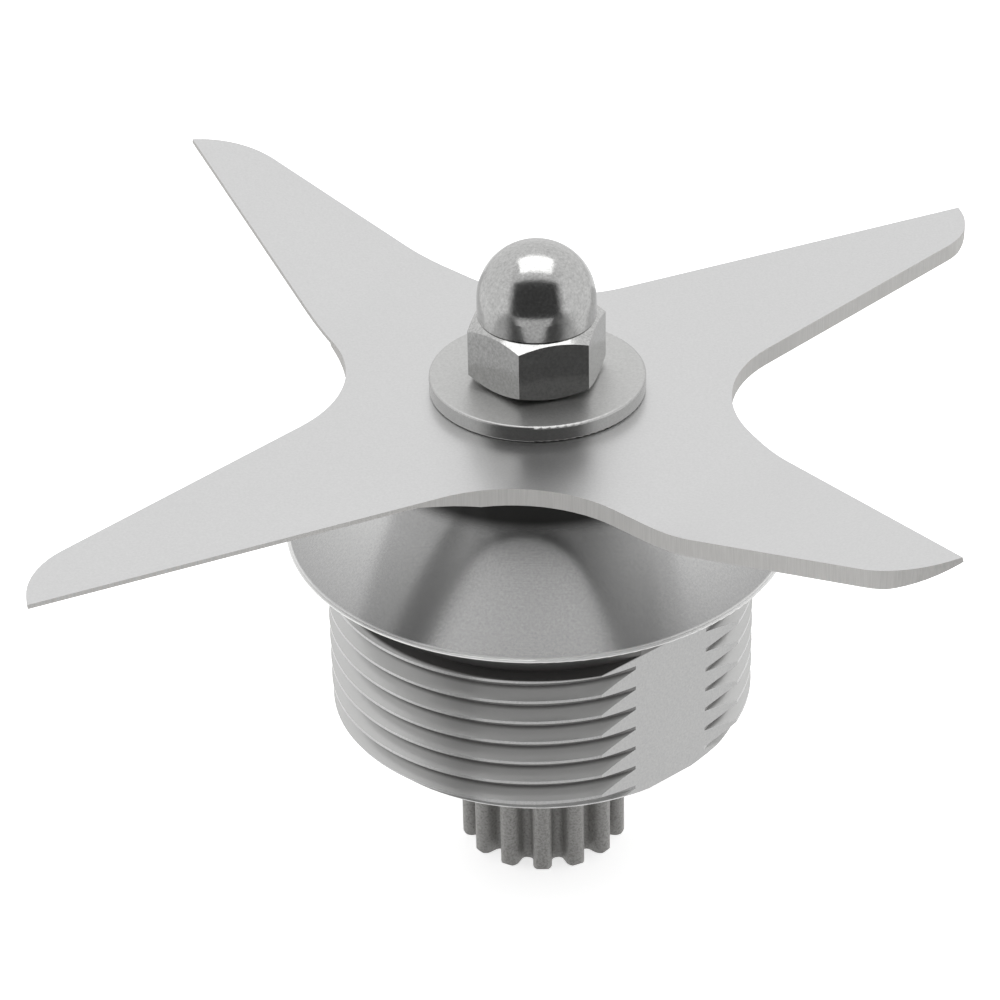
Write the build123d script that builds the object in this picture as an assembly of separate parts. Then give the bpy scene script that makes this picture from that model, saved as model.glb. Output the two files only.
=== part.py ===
from build123d import *
import math
import os

# Blade assembly of a tall blender jar: a four armed blade on a ball bearing spindle in a threaded housing.
# Frame: origin on the spin axis in the plane of the flange seat, under the lip. Z is up. Lengths in mm.

# Housing
thread_diameter = 28.575
thread_pitch = 1.5875
thread_depth = 0.974
thread_crest_flat = 0.2
housing_rim_height = 2.2
housing_bottom_chamfer = 1.2
lip_diameter = 33.65
lip_thickness = 0.22
lip_land_width = 0.15
lip_edge_radius = 0.1
relief_height = 3.1
relief_undercut = 0.1
dome_height = 7.4
dome_top_diameter = 17.6
dome_bulge_height = 0.3
flat_distance = 12.95
flat_facing = -48.0
thread_crest_height = -3.19

# Blade
blade_thickness = 1.2
blade_underside_height = 9.0
blade_turn = -49.1
arm_count = 4
blade_diameter = 77.9
lead_angle = 14.3
trail_angle = 7.0
tip_width = 3.05
arm_root_radius = 9.5
tip_end_angle = 58.6
tip_end_fill = 0.93
edge_land_thickness = 0.3
bevel_width = 4.0
bevel_full_distance = 12.7
bevel_run_out_length = 4.05
bend_start_distance = 15.1
bend_length = 3.6
bend_skew = 15.5
front_arm_bend = 15.8
back_arm_bend = 9.9
bend_steps = 4

# Cap nut and washer
washer_diameter = 14.1
washer_thickness = 1.13
washer_edge_radius = 0.15
nut_across_flats = 8.0
nut_hex_height = 4.3
nut_dome_diameter = 7.7
nut_height = 9.3
nut_corner_chamfer = 0.35
nut_turn = 16.8
stud_diameter = 5.0
stud_length = 6.3
stud_hole_spare_depth = 0.8

# Spindle
journal_diameter = 8.0
drive_flat_width = 6.4
spline_seat_diameter = 6.4
shaft_end_chamfer = 0.4
spacer_diameter = 10.0
spacer_flange_diameter = 13.0
spacer_flange_thickness = 1.0

# Drive spline
spline_teeth = 14
spline_diameter = 11.5
spline_root_diameter = 8.8
spline_tooth_width = 1.3
spline_tip_round = 0.62
spline_root_round = 0.36
spline_bottom_height = -24.95
spline_neck_diameter = 10.4
spline_neck_length = 1.6
spline_end_chamfer = 0.1
spline_facing = -90.0

# Bearings, 8 mm bore, 19 mm outside and 6 mm wide
bearing_diameter = 19.0
bearing_width = 6.0
bearing_edge_radius = 0.3
upper_bearing_top_height = 2.4
bearing_gap = 1.2
ball_diameter = 3.0
ball_count = 8
race_conformity = 1.04
shoulder_height = 1.05
cage_wall = 0.8
cage_height = 3.5
shield_thickness = 0.25
shield_inset_depth = 0.15

# Shaft seal
seal_section_width = 2.5
seal_seat_height = 4.0
seal_height = 3.0
seal_case_wall = 0.4
seal_web_bore = 12.4
seal_lip_wall = 0.6
seal_spring_clearance = 0.08

# Retaining ring in the housing bore
ring_groove_depth = 0.5
ring_thickness = 1.0
ring_width = 1.7
ring_gap_angle = 28.0
ring_lug_length = 1.3
ring_lug_angle = 18.0
ring_hole_diameter = 1.3
ring_facing = 130.0

# Clearances, on the radius
slip_clearance = 0.01
running_clearance = 0.03
free_clearance = 0.1
ring_side_clearance = 0.1

# Stations along the axis that follow from the sizes above
blade_top = blade_underside_height + blade_thickness
washer_top = blade_top + washer_thickness
nut_top = washer_top + nut_height
stud_top = washer_top + stud_length
upper_bearing_bottom = upper_bearing_top_height - bearing_width
lower_bearing_top = upper_bearing_bottom - bearing_gap
lower_bearing_bottom = lower_bearing_top - bearing_width
ring_groove_bottom = lower_bearing_bottom - ring_thickness - ring_side_clearance
housing_bottom = ring_groove_bottom - housing_rim_height

# Radii and offsets that follow
half_turn = 180.0
tip_radius = blade_diameter / 2
lead_offset = tip_radius * math.sin(math.radians(lead_angle))
trail_offset = tip_radius * math.sin(math.radians(trail_angle)) + tip_width
tip_end_length = tip_width / math.sin(math.radians(tip_end_angle))
tip_end_radius = tip_end_fill * tip_end_length / math.tan(math.radians(tip_end_angle / 2))
pitch_diameter = (journal_diameter + bearing_diameter) / 2
inner_shoulder_diameter = pitch_diameter - 2 * shoulder_height
outer_shoulder_diameter = pitch_diameter + 2 * shoulder_height
sleeve_radius = spacer_diameter / 2
journal_bore = journal_diameter + 2 * slip_clearance
spline_bore = spline_seat_diameter + 2 * slip_clearance
seal_diameter = spacer_diameter + 2 * seal_section_width
seal_lip_back = sleeve_radius + seal_lip_wall + free_clearance
seal_inner_wall = seal_diameter / 2 - 2 * seal_case_wall
seal_spring_diameter = seal_inner_wall - seal_lip_back - 2 * seal_spring_clearance


def turned(*outline):
    """Solid turned about the spin axis from an outline of radius and height pairs."""
    return revolve(make_face(Plane.XZ * Polyline(*outline, close=True)), Axis.Z)


def ring(inner_diameter, outer_diameter, bottom, top):
    """Plain ring with square edges."""
    inner, outer = inner_diameter / 2, outer_diameter / 2
    return turned((inner, bottom), (outer, bottom), (outer, top), (inner, top))


def disc(diameter, bottom, top):
    """Plain cylinder on the spin axis."""
    return Pos(0, 0, bottom) * extrude(Circle(diameter / 2), top - bottom)


def double_d(diameter, width):
    """Round section with two flats."""
    return Circle(diameter / 2) & Rectangle(diameter * 2, width)


def polar(radius, degrees):
    """Point at a radius and an angle in the blade plane."""
    return Vector(radius, 0).rotate(Axis.Z, degrees)


def meet(point, heading, other_point, other_heading):
    """Crossing of two lines, each given by a point and a direction in the blade plane."""
    normal = other_heading.rotate(Axis.Z, 90)
    return point + heading * ((other_point - point).dot(normal) / heading.dot(normal))


# Blade


def arm_lines(turn):
    """Leading edge and trailing edge of one arm, as a point and an outward direction each."""
    lead_heading = polar(1, turn - lead_angle)
    trail_heading = polar(1, turn + trail_angle)
    tip = polar(tip_radius, turn)
    trail_point = polar(trail_offset, turn + trail_angle - 90)
    return tip, lead_heading, trail_point, trail_heading


def blade_outline():
    """Flat pattern: straight edges, round roots between the arms and a round end on each arm."""
    corners, roots, ends = [], [], []
    step = 360 / arm_count
    for index in range(arm_count):
        turn = blade_turn + index * step
        tip, lead, trail_point, trail = arm_lines(turn)
        end = meet(tip, polar(1, turn + trail_angle + tip_end_angle), trail_point, trail)
        next_point, next_trail = arm_lines(turn + step)[2:]
        root = meet(tip, lead, next_point, next_trail)
        corners += [end, tip, root]
        ends.append(end)
        roots.append(root)
    pattern = make_face(Polyline(*corners, close=True))

    def near(face, points):
        return [v for v in face.vertices() if min((Vector(v) - p).length for p in points) < slip_clearance]

    pattern = fillet(near(pattern, roots), arm_root_radius)
    return fillet(near(pattern, ends), tip_end_radius)


def edge_bevel(turn):
    """Metal ground off the underside along one leading edge, running out near the hub."""
    foot_angle = turn + 90 - lead_angle
    edge = Plane(
        polar(lead_offset, foot_angle) + Vector(0, 0, blade_underside_height),
        x_dir=polar(1, foot_angle),
        z_dir=polar(1, turn - lead_angle),
    )
    ground = blade_thickness - edge_land_thickness
    spare = blade_thickness
    slope = ground / bevel_width
    section = Polyline(
        (-bevel_width - spare, -slope * spare),
        (spare, ground + slope * spare),
        (spare, -slope * spare),
        close=True,
    )
    wedge = edge * extrude(make_face(section), tip_radius)
    runway = Plane(edge.origin, x_dir=edge.z_dir, z_dir=-edge.x_dir)
    rise = ground / bevel_run_out_length
    start = bevel_full_distance - bevel_run_out_length
    reach = Polyline(
        (start - spare, -rise * spare),
        (bevel_full_distance + spare, ground + rise * spare),
        (tip_radius, ground + rise * spare),
        (tip_radius, -rise * spare),
        close=True,
    )
    stop = runway * extrude(make_face(reach), bevel_width + 2 * spare, both=True)
    return wedge & stop


def raise_arm(flat_blade, turn, angle):
    """Curls a short length of one arm up about a skewed line, and the rest of the arm with it."""
    outward = polar(1, turn + bend_skew)
    start = outward * bend_start_distance
    pivot = start + Vector(0, 0, blade_top + bend_length / math.radians(angle))
    bend_axis = Axis(pivot, outward.cross(Vector(0, 0, 1)))
    hub_side = split(flat_blade, Plane(start, z_dir=outward), keep=Keep.BOTTOM)
    sections = []
    for step in range(bend_steps + 1):
        share = step / bend_steps
        along = outward * bend_length * share
        arm = Pos(-along) * split(flat_blade, Plane(start + along, z_dir=outward), keep=Keep.TOP)
        section = arm.faces().sort_by(Axis((0, 0, 0), outward))[0]
        sections.append(section.rotate(bend_axis, angle * share))
    return hub_side + loft(sections) + arm.rotate(bend_axis, angle)


def make_blade():
    plate = Pos(0, 0, blade_underside_height) * extrude(blade_outline(), blade_thickness)
    hole = extrude(double_d(journal_bore, drive_flat_width + 2 * slip_clearance), blade_top)
    plate -= Rot(0, 0, blade_turn) * hole
    for index in range(arm_count):
        plate -= edge_bevel(blade_turn + index * 360 / arm_count)
    plate = raise_arm(plate, blade_turn, front_arm_bend)
    return raise_arm(plate, blade_turn + half_turn, back_arm_bend)


# Fastening


def make_washer():
    body = ring(stud_diameter + 2 * free_clearance, washer_diameter, blade_top, washer_top)
    rim = body.edges().filter_by(GeomType.CIRCLE).group_by(SortBy.RADIUS)[-1]
    return fillet(rim, washer_edge_radius)


def make_cap_nut():
    hexagon = RegularPolygon(nut_across_flats / 2, 6, major_radius=False)
    corner = nut_across_flats / 2 / math.cos(math.radians(30))
    hex_top = washer_top + nut_hex_height
    drop = (corner - nut_across_flats / 2 + nut_corner_chamfer) * math.tan(math.radians(30))
    inset = corner - drop / math.tan(math.radians(30))
    barrel = turned(
        (0, washer_top),
        (inset, washer_top),
        (corner, washer_top + drop),
        (corner, hex_top - drop),
        (inset, hex_top),
        (0, hex_top),
    )
    body = Pos(0, 0, washer_top) * Rot(0, 0, nut_turn) * extrude(hexagon, nut_hex_height)
    body &= barrel
    radius = nut_dome_diameter / 2
    body += disc(nut_dome_diameter, hex_top, nut_top - radius)
    body += Pos(0, 0, nut_top - radius) * Sphere(radius)
    return body - disc(stud_diameter + 2 * slip_clearance, washer_top, stud_top + stud_hole_spare_depth)


# Spindle


def make_shaft():
    shaft = disc(journal_diameter, lower_bearing_bottom, blade_underside_height)
    drive = extrude(double_d(journal_diameter, drive_flat_width), blade_thickness - free_clearance)
    shaft += Pos(0, 0, blade_underside_height) * Rot(0, 0, blade_turn) * drive
    stud = disc(stud_diameter, blade_underside_height, stud_top)
    shaft += chamfer(stud.faces().sort_by(Axis.Z)[-1].edges(), shaft_end_chamfer)
    tail = disc(spline_seat_diameter, spline_bottom_height + spline_end_chamfer, lower_bearing_bottom)
    return shaft + chamfer(tail.faces().sort_by(Axis.Z)[0].edges(), shaft_end_chamfer)


def make_spacer():
    bore = journal_bore / 2
    flange = spacer_flange_diameter / 2
    flange_bottom = blade_underside_height - spacer_flange_thickness
    return turned(
        (bore, upper_bearing_top_height),
        (sleeve_radius, upper_bearing_top_height),
        (sleeve_radius, flange_bottom),
        (flange, flange_bottom),
        (flange, blade_underside_height),
        (bore, blade_underside_height),
    )


def spline_section():
    """Round tipped teeth round a solid root, one tooth facing the front."""
    outer, root = spline_diameter / 2, spline_root_diameter / 2
    tooth = Pos(outer / 2, 0) * Rectangle(outer, spline_tooth_width)
    section = Circle(root)
    for index in range(spline_teeth):
        section += Rot(0, 0, spline_facing + index * 360 / spline_teeth) * tooth
    middle = (outer + root) / 2
    tips = [v for v in section.vertices() if Vector(v).length > middle]
    section = fillet(tips, spline_tip_round)
    valleys = [v for v in section.vertices() if Vector(v).length < root + slip_clearance]
    return fillet(valleys, spline_root_round)


def make_spline():
    shoulder = lower_bearing_bottom - spline_neck_length
    body = Pos(0, 0, spline_bottom_height) * extrude(spline_section(), shoulder - spline_bottom_height)
    outer = spline_diameter / 2
    body &= turned(
        (0, spline_bottom_height),
        (outer - spline_end_chamfer, spline_bottom_height),
        (outer, spline_bottom_height + spline_end_chamfer),
        (outer, shoulder),
        (0, shoulder),
    )
    body += disc(spline_neck_diameter, shoulder, lower_bearing_bottom)
    return body - disc(spline_bore, spline_bottom_height, lower_bearing_bottom)


# Housing


def thread_grooves():
    """Helical groove between the thread crests, one piece for each turn, past both ends of the thread."""
    crest = thread_diameter / 2
    spare = thread_crest_flat / 2
    flank = math.tan(math.radians(30))
    mouth_half = (thread_pitch - thread_crest_flat) / 2
    root_half = mouth_half - thread_depth * flank
    outer_half = mouth_half + spare * flank
    section = Polyline(
        (crest - thread_depth, -root_half),
        (crest + spare, -outer_half),
        (crest + spare, outer_half),
        (crest - thread_depth, root_half),
        close=True,
    )
    path = Helix(thread_pitch, thread_pitch, crest - thread_depth)
    turn = sweep(make_face(Plane.XZ * section), path=path, is_frenet=True)
    turn = Rot(0, 0, -90) * turn
    first = thread_crest_height + thread_pitch / 2
    count = math.ceil((first - housing_bottom) / thread_pitch) + 1
    return [Pos(0, 0, first - index * thread_pitch) * turn for index in range(count + 1)]


def threaded_shank():
    shank = disc(thread_diameter, housing_bottom, -relief_height)
    shank = chamfer(shank.faces().sort_by(Axis.Z)[0].edges(), housing_bottom_chamfer)
    return shank - thread_grooves()


def housing_head():
    """Cone top with its lip, and the relief that parts the lip from the thread."""
    lip = lip_diameter / 2
    neck = thread_diameter / 2 - thread_depth - relief_undercut
    shoulder = Vector(lip - lip_land_width, lip_thickness)
    crown = Vector(dome_top_diameter / 2, dome_height)
    outward = (shoulder - crown).normalized().rotate(Axis.Z, 90)
    middle = (crown + shoulder) * 0.5 + outward * dome_bulge_height
    outline = [
        Polyline((0, dome_height), (0, -relief_height), (neck, -relief_height), (neck, 0)),
        Polyline((neck, 0), (lip, 0), (lip, lip_thickness), shoulder),
        ThreePointArc(shoulder, middle, crown),
        Line(crown, (0, dome_height)),
    ]
    section = make_face([Plane.XZ * line for line in outline])
    section = fillet(section.vertices().group_by(Axis.X)[-1], lip_edge_radius)
    return revolve(section, Axis.Z)


def make_housing():
    lip = lip_diameter / 2
    body = threaded_shank() + housing_head()
    for facing in (flat_facing, flat_facing + half_turn):
        slab = Pos(flat_distance + lip / 2, 0, housing_bottom / 2) * Box(lip, lip_diameter, -housing_bottom)
        body -= Rot(0, 0, facing) * slab
    body -= disc(seal_diameter + 2 * slip_clearance, seal_seat_height, dome_height)
    body -= disc(seal_web_bore, upper_bearing_top_height, seal_seat_height)
    body -= disc(bearing_diameter + 2 * slip_clearance, housing_bottom, upper_bearing_top_height)
    groove_diameter = bearing_diameter + 2 * ring_groove_depth
    return body - disc(groove_diameter, ring_groove_bottom, lower_bearing_bottom)


# Bearings


def inner_race(top):
    bottom = top - bearing_width
    race = ring(journal_bore, inner_shoulder_diameter, bottom, top)
    return race - race_groove(top, 1)


def outer_race(top):
    bottom = top - bearing_width
    race = ring(outer_shoulder_diameter, bearing_diameter, bottom, top)
    rim = race.edges().filter_by(GeomType.CIRCLE).group_by(SortBy.RADIUS)[-1]
    race = fillet(rim, bearing_edge_radius)
    race -= race_groove(top, -1)
    seat = outer_shoulder_diameter + 2 * cage_wall
    for low, high in shield_levels(top):
        race -= ring(outer_shoulder_diameter - cage_wall, seat, low, high)
    return race


def race_groove(top, side):
    """Round track for the balls, a little wider than they are. Side is 1 inside the balls, -1 outside."""
    track = ball_diameter / 2 * race_conformity
    centre = pitch_diameter / 2 + side * (track - ball_diameter / 2 - running_clearance)
    return Pos(0, 0, top - bearing_width / 2) * Torus(centre, track)


def shield_levels(top):
    """Lower and upper face of the two shields of one bearing."""
    high = top - shield_inset_depth
    low = top - bearing_width + shield_inset_depth
    return (low, low + shield_thickness), (high - shield_thickness, high)


def shields(top):
    inner = inner_shoulder_diameter + 2 * free_clearance
    outer = outer_shoulder_diameter + 2 * cage_wall - 2 * slip_clearance
    return Compound(children=[ring(inner, outer, low, high) for low, high in shield_levels(top)])


def ball_spots(top):
    middle = Pos(0, 0, top - bearing_width / 2)
    return [middle * spot for spot in PolarLocations(pitch_diameter / 2, ball_count)]


def balls(top):
    return Compound(children=[spot * Sphere(ball_diameter / 2) for spot in ball_spots(top)])


def cage(top):
    middle = top - bearing_width / 2
    inner, outer = pitch_diameter - cage_wall, pitch_diameter + cage_wall
    body = ring(inner, outer, middle - cage_height / 2, middle + cage_height / 2)
    pocket = Rot(0, 90, 0) * Cylinder(ball_diameter / 2 + running_clearance, 4 * cage_wall)
    for spot in ball_spots(top):
        body -= spot * pocket
    return body


# Seal


def seal_case():
    outer = seal_diameter / 2
    inner = outer - seal_case_wall
    lip = sleeve_radius + seal_lip_wall
    top = seal_seat_height + seal_height
    flange_top = seal_seat_height + seal_case_wall
    return turned(
        (lip, seal_seat_height),
        (outer, seal_seat_height),
        (outer, top),
        (inner, top),
        (inner, flange_top),
        (lip, flange_top),
    )


def seal_lip():
    """Rubber body bonded in the case, with one lip that runs on the spacer sleeve."""
    wall = seal_diameter / 2 - seal_case_wall
    floor = seal_seat_height + seal_case_wall
    top = seal_seat_height + seal_height
    return turned(
        (sleeve_radius + seal_lip_wall, floor),
        (wall, floor),
        (wall, top),
        (seal_inner_wall, top),
        (seal_inner_wall, floor + seal_lip_wall),
        (seal_lip_back, floor + seal_lip_wall),
        (seal_lip_back, top),
        (seal_lip_back - seal_lip_wall / 2, top),
        (sleeve_radius + running_clearance, top - seal_lip_wall),
        (sleeve_radius + seal_lip_wall / 2, floor + seal_lip_wall),
    )


def seal_spring():
    wire = seal_spring_diameter / 2
    level = seal_seat_height + seal_height - seal_lip_wall
    return Pos(0, 0, level) * Torus(seal_lip_back + seal_spring_clearance + wire, wire)


def retaining_ring():
    """Flat spring ring with a gap and two eyed lugs."""
    outer = bearing_diameter / 2 + ring_groove_depth - free_clearance
    inner = outer - ring_width
    lug_inner = inner - ring_lug_length
    band = Circle(outer) - Circle(inner)
    lugs = Circle(outer) - Circle(lug_inner)
    eye = Pos(inner - ring_lug_length / 4, 0) * Circle(ring_hole_diameter / 2)
    far = 2 * outer
    half_gap, half_lugs = ring_gap_angle / 2, ring_gap_angle / 2 + ring_lug_angle
    def fan(half):
        return make_face(Polyline((0, 0), Vector(polar(far, -half)), Vector(polar(far, half)), close=True))
    shape = band + (lugs & fan(half_lugs)) - fan(half_gap)
    for side in (-1, 1):
        shape -= Rot(0, 0, side * (half_gap + half_lugs) / 2) * eye
    flat_ring = Pos(0, 0, lower_bearing_bottom - ring_thickness) * extrude(shape, ring_thickness)
    return Rot(0, 0, ring_facing) * flat_ring


nodes = {
    "cap_nut": make_cap_nut(),
    "blade_washer": make_washer(),
    "blade": make_blade(),
    "blade_spacer": make_spacer(),
    "drive_shaft": make_shaft(),
    "drive_spline": make_spline(),
    "bearing_housing": make_housing(),
    "bearing_inner_spacer": ring(
        journal_bore, inner_shoulder_diameter, lower_bearing_top, upper_bearing_bottom
    ),
    "bearing_outer_spacer": ring(
        outer_shoulder_diameter, bearing_diameter, lower_bearing_top, upper_bearing_bottom
    ),
    "shaft_seal_case": seal_case(),
    "shaft_seal_lip": seal_lip(),
    "shaft_seal_spring": seal_spring(),
    "housing_retaining_ring": retaining_ring(),
}
for name, top in (("upper_bearing", upper_bearing_top_height), ("lower_bearing", lower_bearing_top)):
    nodes[name + "_inner_race"] = inner_race(top)
    nodes[name + "_outer_race"] = outer_race(top)
    nodes[name + "_balls"] = balls(top)
    nodes[name + "_cage"] = cage(top)
    nodes[name + "_shields"] = shields(top)

os.makedirs("parts", exist_ok=True)
for name, shape in nodes.items():
    export_step(shape, "parts/" + name + ".step")
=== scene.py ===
# %% [markdown]
# # Blender blade assembly
# This is the wear part of a tall kitchen jar: a four-armed blade held by a cap nut and a washer on a
# small spindle. The spindle turns in a threaded steel housing and is driven from below by a toothed
# coupling. The solids come from the CAD model as a fixed frame. This script gives each of them the
# finish of the real metal, winds and sets the small parts that CAD only blocks out, and lays the floor,
# the light and the camera.

# %% Load the frame
import math

import bpy
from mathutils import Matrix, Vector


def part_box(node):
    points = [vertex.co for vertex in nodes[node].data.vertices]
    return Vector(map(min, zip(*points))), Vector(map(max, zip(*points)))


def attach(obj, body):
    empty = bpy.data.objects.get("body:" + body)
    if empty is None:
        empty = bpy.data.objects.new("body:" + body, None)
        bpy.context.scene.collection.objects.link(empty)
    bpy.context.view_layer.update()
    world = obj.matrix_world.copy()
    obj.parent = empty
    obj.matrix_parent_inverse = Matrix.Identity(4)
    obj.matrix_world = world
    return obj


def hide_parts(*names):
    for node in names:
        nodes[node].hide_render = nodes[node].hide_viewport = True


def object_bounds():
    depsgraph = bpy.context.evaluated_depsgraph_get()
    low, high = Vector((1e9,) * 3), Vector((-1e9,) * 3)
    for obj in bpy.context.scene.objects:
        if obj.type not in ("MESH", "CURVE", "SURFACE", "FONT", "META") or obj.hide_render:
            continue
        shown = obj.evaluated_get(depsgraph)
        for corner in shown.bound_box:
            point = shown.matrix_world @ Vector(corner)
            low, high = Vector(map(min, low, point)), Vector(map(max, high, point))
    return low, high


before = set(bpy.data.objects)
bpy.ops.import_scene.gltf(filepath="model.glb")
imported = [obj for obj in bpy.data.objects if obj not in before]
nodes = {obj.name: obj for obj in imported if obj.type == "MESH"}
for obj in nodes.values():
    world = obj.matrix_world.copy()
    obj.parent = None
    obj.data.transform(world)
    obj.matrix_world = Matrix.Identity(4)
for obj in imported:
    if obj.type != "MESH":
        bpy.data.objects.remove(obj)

mm = 0.001
cad_low, cad_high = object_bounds()
print("CAD nodes:", len(nodes), "box in mm:", [round(v / mm, 2) for v in cad_high - cad_low])

# %% [markdown]
# ## Camera
# The picture was taken with a long lens from a little above the blade. Round edges such as the lip, the
# washer and the shank give the camera's height and distance, and the blade tips give the lens. A camera
# could be turned until the object sits where it should, but that tips the upright edges. Here the object
# stands left of the lens axis, so the picture is shifted instead.

# %% Place the camera
scene = bpy.context.scene
lens_data = bpy.data.cameras.new("photo_camera")
lens_data.sensor_width = 36.0
lens_data.lens = 124.4
lens_data.shift_x, lens_data.shift_y = -0.1196, 0.0005
lens_data.clip_start, lens_data.clip_end = 0.01, 50.0
look_down = 31.98
camera = bpy.data.objects.new("photo_camera", lens_data)
camera.location = (5.32 * mm, -194.32 * mm, 122.84 * mm)
camera.rotation_euler = (math.radians(90.0 - look_down), 0.0, 0.0)
scene.collection.objects.link(camera)
scene.camera = camera
print("camera distance in mm:", round(camera.location.length / mm, 1), "looking down by", look_down)

# %% [markdown]
# ## Small helpers
# Colours are picked as sRGB hex values, the way a screen shows them, but the shader works with linear
# light, so one function converts them. A node hides the sockets that its settings don't need, and several
# sockets can share a name, so a second function finds the one in use. A third adds a node, sets its
# values and joins its inputs. A last pair starts a finish and joins it to the shader. With these, each
# finish below stays short enough to read in one go.

# %% Colour and node helpers
def linear(code):
    """An sRGB hex value as linear RGBA."""
    parts = [int(code[i:i + 2], 16) / 255.0 for i in (1, 3, 5)]
    return [p / 12.92 if p <= 0.04045 else ((p + 0.055) / 1.055) ** 2.4 for p in parts] + [1.0]


def in_use(sockets, key=None):
    """The socket at a place, the first one in use with a name, or just the first one in use."""
    if isinstance(key, int):
        return sockets[key]
    return next(socket for socket in sockets if socket.enabled and key in (None, socket.name))


def add(tree, kind, settings=None, links=None):
    """Adds a node. Settings are its colour stops, its properties or its unlinked inputs. A link comes
    from a socket, or from a node, which then stands for its first output."""
    made = tree.nodes.new(kind)
    for key, value in (settings or {}).items():
        if key == "stops":
            ramp = made.color_ramp.elements
            while len(ramp) < len(value):
                ramp.new(1.0)
            for stop, (place, code) in zip(ramp, value):
                stop.position, stop.color = place, linear(code)
        elif isinstance(key, str) and hasattr(made, key):
            setattr(made, key, value)
        else:
            in_use(made.inputs, key).default_value = value
    for key, source in (links or {}).items():
        socket = in_use(source.outputs) if isinstance(source, bpy.types.Node) else source
        tree.links.new(socket, in_use(made.inputs, key))
    return made


print("mid grey #808080 is", round(linear("#808080")[0], 3), "in linear light")

# %% Finish helpers
def start_finish(name, **constants):
    """A new material with the shader's constants set, and the coordinates its patterns read."""
    finish = bpy.data.materials.new(name)
    finish.use_nodes = True
    tree = finish.node_tree
    shader = tree.nodes["Principled BSDF"]
    for key, value in constants.items():
        shader.inputs[key.replace("_", " ")].default_value = value
    return finish, tree, shader, add(tree, "ShaderNodeTexCoord").outputs


def join(tree, shader, **sources):
    """Joins nodes to the shader's inputs."""
    for key, source in sources.items():
        tree.links.new(in_use(source.outputs), shader.inputs[key.replace("_", " ")])


# Two settings that many masks share: one that falls from full to nothing, and one with soft ends.
falling = {"To Min": 1.0, "To Max": 0.0}
soft = {"interpolation_type": "SMOOTHSTEP"}
# Angles are written in degrees, and nodes work with radians.
deg = math.radians
print("a right angle is", round(deg(90), 4), "for a node")

# %% [markdown]
# ## Floor
# A spare part is photographed on a white light table: a matt white sheet, lit from below as well, so
# that the object throws almost no shadow. One large plane at the lowest point is enough, because the
# camera looks down and never sees where the sheet ends. It glows a little, and a faint mottling keeps it
# from being one dead value. Steel would mirror it and lose its dark tones, so reflections don't see it.

# %% Lay the sheet
# Matt white sheet: an even bright white with no gloss.
sheet_white, tree, shader, place = start_finish("matt_white_light_table", Roughness=0.9,
                                                Emission_Strength=0.76)
mottle = add(tree, "ShaderNodeTexNoise", {"Scale": 1 / (40 * mm), "Detail": 2.0}, {"Vector": place["Object"]})
tone = add(tree, "ShaderNodeValToRGB", {"stops": [(0.3, "#f2f2f2"), (0.7, "#f6f6f6")]}, {"Fac": mottle})
join(tree, shader, Base_Color=tone, Emission_Color=tone)

half, low = 1.6, cad_low.z
corners = [(-half, -half, low), (half, -half, low), (half, half, low), (-half, half, low)]
sheet = bpy.data.meshes.new("light_table")
sheet.from_pydata(corners, [], [(0, 1, 2, 3)])
sheet.materials.append(sheet_white)
floor = bpy.data.objects.new("light_table", sheet)
floor.visible_glossy = False
scene.collection.objects.link(floor)
print("floor height in mm:", round(low / mm, 2))

# %% [markdown]
# ## Light
# The dome of the nut is a small mirror and shows how the photograph was lit: pale walls all round, one
# soft box straight overhead, and a dark gap on the camera's side. Lamps alone would give steel nothing
# but spots to reflect. So the world is a pale tent with that gap in it, and one large area light is the
# soft box. No film curve is used, so the white table stays white. A world shader knows a place in the
# tent only by its direction, so the first cell turns that direction into angles.

# %% Angles in the tent
scene.view_settings.view_transform = "Standard"
tent = bpy.data.worlds.new("pale_tent")
tent.use_nodes = True
scene.world = tent
tree = tent.node_tree
toward = add(tree, "ShaderNodeTexCoord").outputs["Generated"]
axes = add(tree, "ShaderNodeSeparateXYZ", {}, {"Vector": toward}).outputs
ahead = add(tree, "ShaderNodeMath", {"operation": "MULTIPLY", 1: -1.0}, {0: axes["Y"]})
turn = add(tree, "ShaderNodeMath", {"operation": "ARCTAN2"}, {0: axes["X"], 1: ahead})
aside = add(tree, "ShaderNodeMath", {"operation": "ABSOLUTE"}, {0: turn})
rise = add(tree, "ShaderNodeMath", {"operation": "ARCSINE"}, {0: axes["Z"]})
lean_side = add(tree, "ShaderNodeMath", {"operation": "ARCSINE"}, {0: axes["X"]})
sideways = add(tree, "ShaderNodeMath", {"operation": "ABSOLUTE"}, {0: lean_side})
lean_back = add(tree, "ShaderNodeMath", {"operation": "ARCTAN2"}, {0: axes["Z"], 1: ahead})
print("tent nodes so far:", len(tree.nodes))

# %% [markdown]
# ## Dark gap
# Steel looks like steel because it mirrors something dark next to something bright. Above the part the
# gap has straight edges and a fairly sharp blur, so there it is measured by leaning sideways and by
# leaning back. Below the part it is wide and very soft, and is measured by turning aside. A picture of a
# studio could hold all this, but angles are easier to change, and they need no file.

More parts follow.
